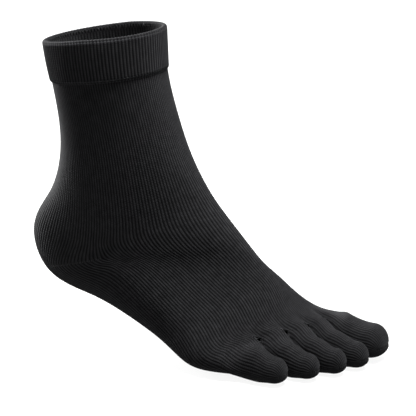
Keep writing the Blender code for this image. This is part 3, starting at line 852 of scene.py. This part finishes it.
def knit_material(name, knit, stitch_strength=1.0):
    """Black yarn in ribs: stitches along the ribs from the stitch map, loose fibres, a soft mottle and
    painted groove shade.
    """
    material, tree, shader, where = textured_material(name)
    stitches = add_node(tree, "ShaderNodeSeparateXYZ", {0: where["UV"]}).outputs
    shifted = math_node(tree, "FRACT", math_node(tree, "ADD", stitches["X"], 0.5))
    beside = math_node(tree, "ABSOLUTE", math_node(tree, "SUBTRACT", shifted, 0.5))
    across = math_node(tree, "MULTIPLY", beside, 2.0)
    slanted = math_node(tree, "MULTIPLY_ADD", across, -STITCH_SLANT, stitches["Y"])
    wave = math_node(tree, "SINE", math_node(tree, "MULTIPLY", slanted, 2 * math.pi))
    loop = math_node(tree, "MULTIPLY_ADD", wave, 0.5, 0.5)
    crest = math_node(tree, "SUBTRACT", 1.0, math_node(tree, "POWER", across, 2.0))
    fullness = math_node(tree, "MULTIPLY_ADD", crest, 1 - STITCH_EDGE, STITCH_EDGE)
    stitch = math_node(tree, "MULTIPLY", loop, fullness)
    noise = {"Vector": where["Object"], "Scale": FIBRE_SCALE, "Detail": 3, "Roughness": 0.7}
    fibres = add_node(tree, "ShaderNodeTexNoise", noise).outputs[0]
    noise = {"Vector": where["Object"], "Scale": MOTTLE_SCALE, "Detail": 4}
    mottle = add_node(tree, "ShaderNodeTexNoise", noise).outputs[0]
    relief = math_node(tree, "MULTIPLY", stitch, stitch_strength)
    height = math_node(tree, "MULTIPLY_ADD", fibres, FIBRE_HEIGHT, relief)
    bump = add_node(tree, "ShaderNodeBump", {"Strength": 0.6, "Distance": BUMP_DEPTH, "Height": height})
    tone = math_node(tree, "MULTIPLY", stitch, STITCH_TONE)
    tone = math_node(tree, "SUBTRACT", math_node(tree, "MULTIPLY_ADD", mottle, MOTTLE_TONE, tone), TONE_DROP)
    # Painted light: the rib crests are lightened, and the grooves between them stay dark as painted shade.
    tone_and_crest_light = math_node(tree, "MULTIPLY_ADD", crest, PAINTED_CREST_LIGHT, tone)
    tones = {"Factor": tone_and_crest_light, "A": list(knit.yarn), "B": list(knit.mottle_and_crest_light_yarn)}
    colour = add_node(tree, "ShaderNodeMix", tones, data_type="RGBA", clamp_factor=True)
    set_inputs(tree, shader, {
        "Normal": bump.outputs[0], "Base Color": colour.outputs["Result"], "Roughness": 0.95,
        "Specular IOR Level": 0.03, "Sheen Weight": knit.fuzz, "Sheen Roughness": 0.5,
        "Sheen Tint": (0.82, 0.83, 0.88, 1.0),
    })
    return material


def thread_material(name, colour):
    """The seams' black thread, twisted from two plies."""
    material, tree, shader, where = textured_material(name)
    twist = {"Vector": where["Object"], "Scale": 1500, "Distortion": 1.5}
    plies = add_node(tree, "ShaderNodeTexWave", twist, bands_direction="DIAGONAL").outputs["Fac"]
    bump = add_node(tree, "ShaderNodeBump", {"Strength": 0.4, "Distance": 0.00008, "Height": plies})
    lighter = [value * PLY_LIGHT for value in colour[:3]] + [1.0]
    tint = add_node(tree, "ShaderNodeMix", {"Factor": plies, "A": colour, "B": lighter}, data_type="RGBA")
    set_inputs(tree, shader, {
        "Normal": bump.outputs[0], "Base Color": tint.outputs["Result"],
        "Roughness": 0.8, "Specular IOR Level": 0.2,
    })
    return material


def relief_inputs(knit, depth, material):
    """The inputs of Rib Relief for one piece of cloth."""
    return {
        "Rib Depth": depth, "Rib Fullness": knit.rib_fullness, "Crest Height": CREST_HEIGHT,
        "Material": material,
    }


def tube_grid(knit, seams):
    """The skin of leg, heel and foot below the cuff, on a grid of ribs and courses."""
    near = GORE_PLACE + GORE_ROWS
    stops = (CUFF_EDGE - TUCK, HEEL_PLACES[0], LEG_END, *near, HEEL_PLACES[1], TOE_ROOTS)
    places = stepped_rows(stops, (LEG_ROWS, HEEL_ROWS, 2, 2, 2, 2, 2, SOLE_ROWS, FOOT_ROWS))
    ribs, places = np.meshgrid(np.arange(2 * TOP_WALES * RIB_STEPS) / RIB_STEPS, places)
    wales = rib_wales(ribs, places)
    points = tube_points(wales, places) - ORIGIN
    after = tube_points(wales, np.minimum(places + NUDGE, TOE_ROOTS))
    ahead = after - tube_points(wales, places - NUDGE)
    return {
        "points": points, "ahead": ahead, "outward": outward_of(ahead, points), "ribs": ribs,
        "places": places, "ribbing": leg_ribbing(ribs, places), "course_height": knit.course,
        "press": -GORE_SINK * seams.groove * gore_groove(ribs, places),
        "course": courses(points, knit.course),
    }


def toe_grid(toe, knit, seams):
    """The skin of a toe on a grid of ribs and courses, from its root to its closing seam."""
    columns = np.arange(int(2 * toe_half(toe)) * RIB_STEPS) / RIB_STEPS
    cap = 1 + np.concatenate([np.linspace(0, CAP_BEND, CAP_ROWS)[1:], CAP_END])
    along = np.concatenate([np.linspace(0, 1, TOE_ROWS), cap])
    ribs, along = np.meshgrid(columns, along)
    points = toe_points(toe, ribs, along) - ORIGIN
    after = toe_points(toe, ribs, np.minimum(along + NUDGE, 2))
    ahead = after - toe_points(toe, ribs, np.maximum(along - NUDGE, 0))
    to_seam = (2 - along) * np.pi / 4 * TOES["height"][toe] * TOE_HEIGHT
    root = leg_ribbing(toe_wales(toe, ribs), np.full(ribs.shape, TOE_ROOTS))
    ribbing = root + (TOE_RIBBING - root) * smoothstep(along / TOE_REGAIN)
    ribbing = ribbing * (TIP_RIBBING + (1 - TIP_RIBBING) * smoothstep(to_seam / TIP_FADE))
    return {
        "points": points, "ahead": ahead, "outward": outward_of(ahead, points), "ribs": ribs,
        "ribbing": ribbing, "course_height": knit.course,
        "press": -seams.groove * np.exp(-((to_seam / SEAM_REACH) ** 2)),
        "course": courses(points, knit.course),
    }


def sealed_row(points):
    """Points of a grid whose last row closes flat, with the second half of that row taken from its first."""
    half = points.shape[1] // 2
    points[-1, half + 1 :] = points[-1, half - 1 : 0 : -1]
    return points


class KnitLegAndFoot(bpy.types.Operator):
    """Knit the leg, the foot and the turned heel pocket as one cloth, cut along its courses and wales"""

    bl_idname = "toe_sock.knit_leg_and_foot"
    bl_label = "Knit Leg, Foot and Heel"
    bl_options = {"REGISTER", "UNDO"}

    def execute(self, context):
        knit, seams = context.scene.sock_knit, context.scene.sock_seams
        grid = tube_grid(knit, seams)
        rows, columns = grid["points"].shape[:2]
        middle = (grid["places"][:-1] + grid["places"][1:]) / 2
        rib = grid["ribs"][:-1] + 0.5 / RIB_STEPS
        heel = (HEEL_PLACES[0] < middle) & (middle < HEEL_PLACES[1])
        heel &= (HEEL_WALES[0] < rib) & (rib < HEEL_WALES[1])
        tree = shared_tree("Rib Relief", rib_relief_tree)
        raised = grid["points"].reshape(-1, 3).copy()
        made = []
        for name, keep, material in (
            ("leg", ~heel & (middle < LEG_END), knit_material("leg_black_knit", knit)),
            ("foot", ~heel & (middle > LEG_END), knit_material("foot_black_knit", knit)),
            ("heel_pocket", heel, knit_material("heel_black_knit", knit, 0.8)),
        ):
            mesh, outside = wall_mesh(name, grid, keep, knit.wall)
            mesh = grown_mesh(name, mesh, tree, relief_inputs(knit, knit.rib_depth, material))
            raised[outside] = vertex_places(mesh)[: len(outside)]
            made.append((name, mesh, outside))
        normals = outward_of(grid["ahead"], raised.reshape(rows, columns, 3))
        for name, mesh, outside in made:
            set_cloth_normals(mesh, outside, normals)
            add_piece(name + "_knit", mesh, name)
        return {"FINISHED"}


class KnitToes(bpy.types.Operator):
    """Knit the five toe pockets, each closed at its tip"""

    bl_idname = "toe_sock.knit_toes"
    bl_label = "Knit Toes"
    bl_options = {"REGISTER", "UNDO"}

    def execute(self, context):
        knit, seams = context.scene.sock_knit, context.scene.sock_seams
        tree = shared_tree("Rib Relief", rib_relief_tree)
        material = knit_material("toe_black_knit", knit, 0.9)
        for toe, name in enumerate(TOE_NAMES):
            grid = toe_grid(toe, knit, seams)
            rows, columns = grid["points"].shape[:2]
            keep = np.ones((rows - 1, columns), bool)
            mesh, outside = wall_mesh(name, grid, keep, knit.wall, sealed=True)
            mesh = grown_mesh(name, mesh, tree, relief_inputs(knit, knit.rib_depth, material))
            raised = grid["points"].reshape(-1, 3).copy()
            raised[outside] = vertex_places(mesh)[: len(outside)]
            raised = sealed_row(raised.reshape(rows, columns, 3))
            set_cloth_normals(mesh, outside, outward_of(grid["ahead"], raised))
            add_piece(name + "_knit", mesh, name)
        return {"FINISHED"}


class KnitCuff(bpy.types.Operator):
    """Knit the doubled cuff, rolled over at the rim and at its lower edge"""

    bl_idname = "toe_sock.knit_cuff"
    bl_label = "Knit Cuff"
    bl_options = {"REGISTER", "UNDO"}

    puff = 0.00035  # how far the middle of the band swells, in metres
    roll_steps = 10

    def execute(self, context):
        knit = context.scene.sock_knit
        ribs = np.arange(knit.cuff_ribs * RIB_STEPS) / RIB_STEPS
        wales = ribs * 2 * TOP_WALES / knit.cuff_ribs
        places = np.linspace(0, CUFF_EDGE, 21)
        skin = tube_points(*np.meshgrid(wales, places)) - ORIGIN
        down = unit(np.gradient(skin, axis=0))
        out = outward_of(down, skin)
        thick = CUFF_WALL / 2
        middle = CUFF_PROUD - thick
        swell = self.puff * np.sin(np.pi * places)
        rings, shows = [], []
        for i in range(1, len(places) - 1):
            rings.append(skin[i] + (middle + thick + swell[i]) * out[i])
            shows.append(1.0)
        for end, way, side in ((-1, -1, 1), (0, 1, -1)):
            for angle in np.linspace(0, np.pi, self.roll_steps + 1):
                offset = (middle + thick * np.cos(angle) * side) * out[end]
                rings.append(skin[end] + offset + thick * (1 - np.sin(angle)) * way * down[end])
                shows.append(0.8)
            if end == -1:
                for i in range(len(places) - 2, 0, -2):
                    rings.append(skin[i] + (middle - thick) * out[i])
                    shows.append(0.6)
        points = np.array(rings)
        rows, columns = points.shape[:2]
        ahead = np.roll(points, -1, axis=0) - np.roll(points, 1, axis=0)
        outward = outward_of(ahead, points)
        index = np.arange(rows * columns).reshape(rows, columns)
        below, beside = np.roll(index, -1, axis=0), np.roll(index, -1, axis=1)
        corner = np.roll(below, -1, axis=1)
        faces = np.stack([index, below, corner, beside], axis=-1).reshape(-1, 4)
        mesh = bpy.data.meshes.new("cuff")
        mesh.from_pydata(points.reshape(-1, 3).tolist(), [], faces.tolist())
        mesh.polygons.foreach_set("use_smooth", [True] * len(mesh.polygons))
        values = {
            "ribs": np.broadcast_to(ribs, (rows, columns)), "press": np.zeros((rows, columns)),
            "ribbing": np.broadcast_to(np.array(shows)[:, None], (rows, columns)),
        }
        for key, value in values.items():
            mesh.attributes.new(key, "FLOAT", "POINT").data.foreach_set("value", np.ravel(value))
        mesh.attributes.new("outward", "FLOAT_VECTOR", "POINT").data.foreach_set("vector", outward.ravel())
        run = np.linalg.norm(np.diff(points, axis=0, append=points[:1]), axis=2).mean(axis=1)
        course = np.concatenate([[0], np.cumsum(run)]) / knit.course
        r, c = np.divmod(np.arange(rows * columns), columns)
        uv = [np.stack([(c + j) / RIB_STEPS, course[r + i]], 1) for i, j in ((0, 0), (1, 0), (1, 1), (0, 1))]
        mesh.uv_layers.new(name="stitches").data.foreach_set("uv", np.stack(uv, axis=1).ravel())
        material = knit_material("cuff_black_knit", knit, 1.0)
        tree = shared_tree("Rib Relief", rib_relief_tree)
        mesh = grown_mesh("cuff", mesh, tree, relief_inputs(knit, knit.cuff_rib_depth, material))
        for key in RELIEF_KINDS:
            mesh.attributes.remove(mesh.attributes[key])
        add_piece("cuff_knit", mesh, "cuff")
        return {"FINISHED"}


def stitch_line(name, points, outward, seams, length_share, material):
    """A mesh of stitches laid across a line of points."""
    mesh = bpy.data.meshes.new(name)
    mesh.from_pydata(points.tolist(), [(i, i + 1) for i in range(len(points) - 1)], [])
    mesh.attributes.new("outward", "FLOAT_VECTOR", "POINT").data.foreach_set("vector", outward.ravel())
    inputs = {
        "Pitch": seams.stitch_pitch, "Length": seams.stitch_length * length_share,
        "Thread Radius": seams.thread_radius, "Slant": seams.stitch_pitch * STITCH_LEAN, "Material": material,
    }
    mesh = grown_mesh(name, mesh, shared_tree("Seam Stitches", seam_stitch_tree), inputs)
    mesh.polygons.foreach_set("use_smooth", [True] * len(mesh.polygons))
    return mesh


class LinkToeSeams(bpy.types.Operator):
    """Stitch the closing seam across the tip of each toe"""

    bl_idname = "toe_sock.link_toe_seams"
    bl_label = "Link Toe Seams"
    bl_options = {"REGISTER", "UNDO"}

    def execute(self, context):
        knit, seams = context.scene.sock_knit, context.scene.sock_seams
        material = thread_material("seam_thread", list(seams.thread))
        for toe, name in enumerate(TOE_NAMES):
            grid = toe_grid(toe, knit, seams)
            half = grid["points"].shape[1] // 2
            line = slice(RIB_STEPS // 2, half - RIB_STEPS // 2 + 1)
            outward = grid["outward"][-1, line]
            points = grid["points"][-1, line] - SEAM_SINK * seams.groove * outward
            mesh = stitch_line(name + "_seam", points, outward, seams, 1.0, material)
            add_piece(name + "_seam", mesh, None)
        return {"FINISHED"}


class SewGoreLines(bpy.types.Operator):
    """Stitch the gore line on both sides of the turned heel"""

    bl_idname = "toe_sock.sew_gore_lines"
    bl_label = "Sew Gore Lines"
    bl_options = {"REGISTER", "UNDO"}

    def execute(self, context):
        knit, seams = context.scene.sock_knit, context.scene.sock_seams
        material = thread_material("gore_thread", list(seams.thread))
        grid = tube_grid(knit, seams)
        row = int(np.argmin(np.abs(grid["places"][:, 0] - GORE_PLACE)))
        inner_end = 3 * TOP_WALES - GORE_START
        for name, low, high in (
            ("outer_gore", GORE_START, HEEL_WALES[1]), ("inner_gore", HEEL_WALES[0], inner_end),
        ):
            line = slice(int(low * RIB_STEPS), int(high * RIB_STEPS) + 1)
            outward = grid["outward"][row, line]
            points = grid["points"][row, line] - GORE_SINK * seams.groove * outward
            mesh = stitch_line(name, points, outward, seams, GORE_STITCH, material)
            add_piece(name, mesh, None)
        return {"FINISHED"}


def sweep_mesh(level):
    """A round floor whose edge rises in a smooth sweep, so that no horizon shows from any side."""
    flat, bend, top, steps = 2.6, 1.2, 2.6, 96
    rings = np.linspace(0.05, flat, 14)
    rising = np.linspace(0, np.pi / 2, 13)[1:]
    radii = np.concatenate([rings, flat + bend * np.sin(rising), [flat + bend]])
    heights = np.concatenate([np.zeros(len(rings)), bend * (1 - np.cos(rising)), [top]])
    turns = np.linspace(0, 2 * np.pi, steps, endpoint=False)
    points = [(0.0, 0.0, level)]
    for radius, height in zip(radii, heights):
        points.extend((radius * math.cos(t), radius * math.sin(t), level + height) for t in turns)
    count = len(turns)
    faces = [(0, 1 + i, 1 + (i + 1) % count) for i in range(count)]
    for ring in range(len(radii) - 1):
        base = 1 + ring * count
        for i in range(count):
            n = (i + 1) % count
            faces.append((base + i, base + count + i, base + count + n, base + n))
    mesh = bpy.data.meshes.new("floor_sweep")
    mesh.from_pydata(points, [], faces)
    mesh.polygons.foreach_set("use_smooth", [True] * len(mesh.polygons))
    return mesh


def add_softbox(name, place, target, size, power):
    """A square soft light at a place, turned to a target."""
    light = bpy.data.lights.new(name, "AREA")
    light.shape = "SQUARE"
    light.size = size
    light.energy = power
    box = bpy.data.objects.new(name, light)
    bpy.context.scene.collection.objects.link(box)
    box.location = place
    box.rotation_euler = (Vector(target) - Vector(place)).to_track_quat("-Z", "Y").to_euler()


class LightStudio(bpy.types.Operator):
    """Lay the pale floor, hang the soft lights and place the camera"""

    bl_idname = "toe_sock.light_studio"
    bl_label = "Light Studio"
    bl_options = {"REGISTER", "UNDO"}

    aim = (0.0717, 0.0, -0.1055)  # middle of the view, in the sock's frame
    # Each soft light has its name, its place, its size in metres and its power in watts.
    softboxes = (
        ("overhead", (0.30, 0.0, 0.95), 0.4, 90.0),
        ("back_left", (-0.95, 0.45, 0.25), 0.6, 110.0),
        ("back_right", (0.95, 0.85, 0.30), 0.7, 7.0),
    )

    def execute(self, context):
        studio = context.scene.sock_studio
        floor = bpy.data.objects.new("floor_sweep", sweep_mesh(FLOOR))
        context.scene.collection.objects.link(floor)
        material = bpy.data.materials.new("pale_floor")
        material.use_nodes = True
        set_inputs(material.node_tree, material.node_tree.nodes["Principled BSDF"], {
            "Base Color": studio.floor, "Roughness": 0.9, "Specular IOR Level": 0.0,
            "Emission Color": (1.0, 1.0, 1.0, 1.0), "Emission Strength": studio.floor_glow,
        })
        floor.data.materials.append(material)
        world = bpy.data.worlds.new("studio_room")
        world.use_nodes = True
        room = {"Color": (1.0, 1.0, 1.0, 1.0), "Strength": studio.ambient}
        set_inputs(world.node_tree, world.node_tree.nodes["Background"], room)
        context.scene.world = world
        context.scene.view_settings.view_transform = "Standard"
        for name, place, size, power in self.softboxes:
            add_softbox(name, place, self.aim, size, power)
        back = Vector((
            math.sin(studio.turn) * math.cos(studio.height),
            -math.cos(studio.turn) * math.cos(studio.height),
            math.sin(studio.height),
        ))
        data = bpy.data.cameras.new("camera")
        data.sensor_width = 36
        data.lens = data.sensor_width * studio.distance / studio.view_width
        camera = bpy.data.objects.new("camera", data)
        context.scene.collection.objects.link(camera)
        camera.location = Vector(self.aim) + back * studio.distance
        camera.rotation_euler = (-back).to_track_quat("-Z", "Y").to_euler()
        context.scene.camera = camera
        return {"FINISHED"}


class ToeSockPanel(bpy.types.Panel):
    """Buttons and settings of the toe sock"""

    bl_idname = "VIEW3D_PT_toe_sock"
    bl_label = "Toe Sock"
    bl_space_type = "VIEW_3D"
    bl_region_type = "UI"
    bl_category = "Toe Sock"

    def draw(self, context):
        for operator in OPERATORS:
            self.layout.operator(operator.bl_idname)
        for title, settings in (
            ("Knit", context.scene.sock_knit),
            ("Seams", context.scene.sock_seams),
            ("Studio", context.scene.sock_studio),
        ):
            box = self.layout.box()
            box.label(text=title)
            for key in settings.__annotations__:
                box.prop(settings, key)


OPERATORS = (KnitCuff, KnitLegAndFoot, KnitToes, LinkToeSeams, SewGoreLines, LightStudio)
CLASSES = (KnitSettings, SeamSettings, StudioSettings, *OPERATORS, ToeSockPanel)


def register():
    for one in CLASSES:
        bpy.utils.register_class(one)
    bpy.types.Scene.sock_knit = PointerProperty(type=KnitSettings)
    bpy.types.Scene.sock_seams = PointerProperty(type=SeamSettings)
    bpy.types.Scene.sock_studio = PointerProperty(type=StudioSettings)


def unregister():
    del bpy.types.Scene.sock_studio
    del bpy.types.Scene.sock_seams
    del bpy.types.Scene.sock_knit
    for one in reversed(CLASSES):
        bpy.utils.unregister_class(one)


def main():
    register()
    bpy.ops.toe_sock.knit_cuff()
    bpy.ops.toe_sock.knit_leg_and_foot()
    bpy.ops.toe_sock.knit_toes()
    bpy.ops.toe_sock.link_toe_seams()
    bpy.ops.toe_sock.sew_gore_lines()
    bpy.ops.toe_sock.light_studio()


if __name__ == "__main__":
    main()
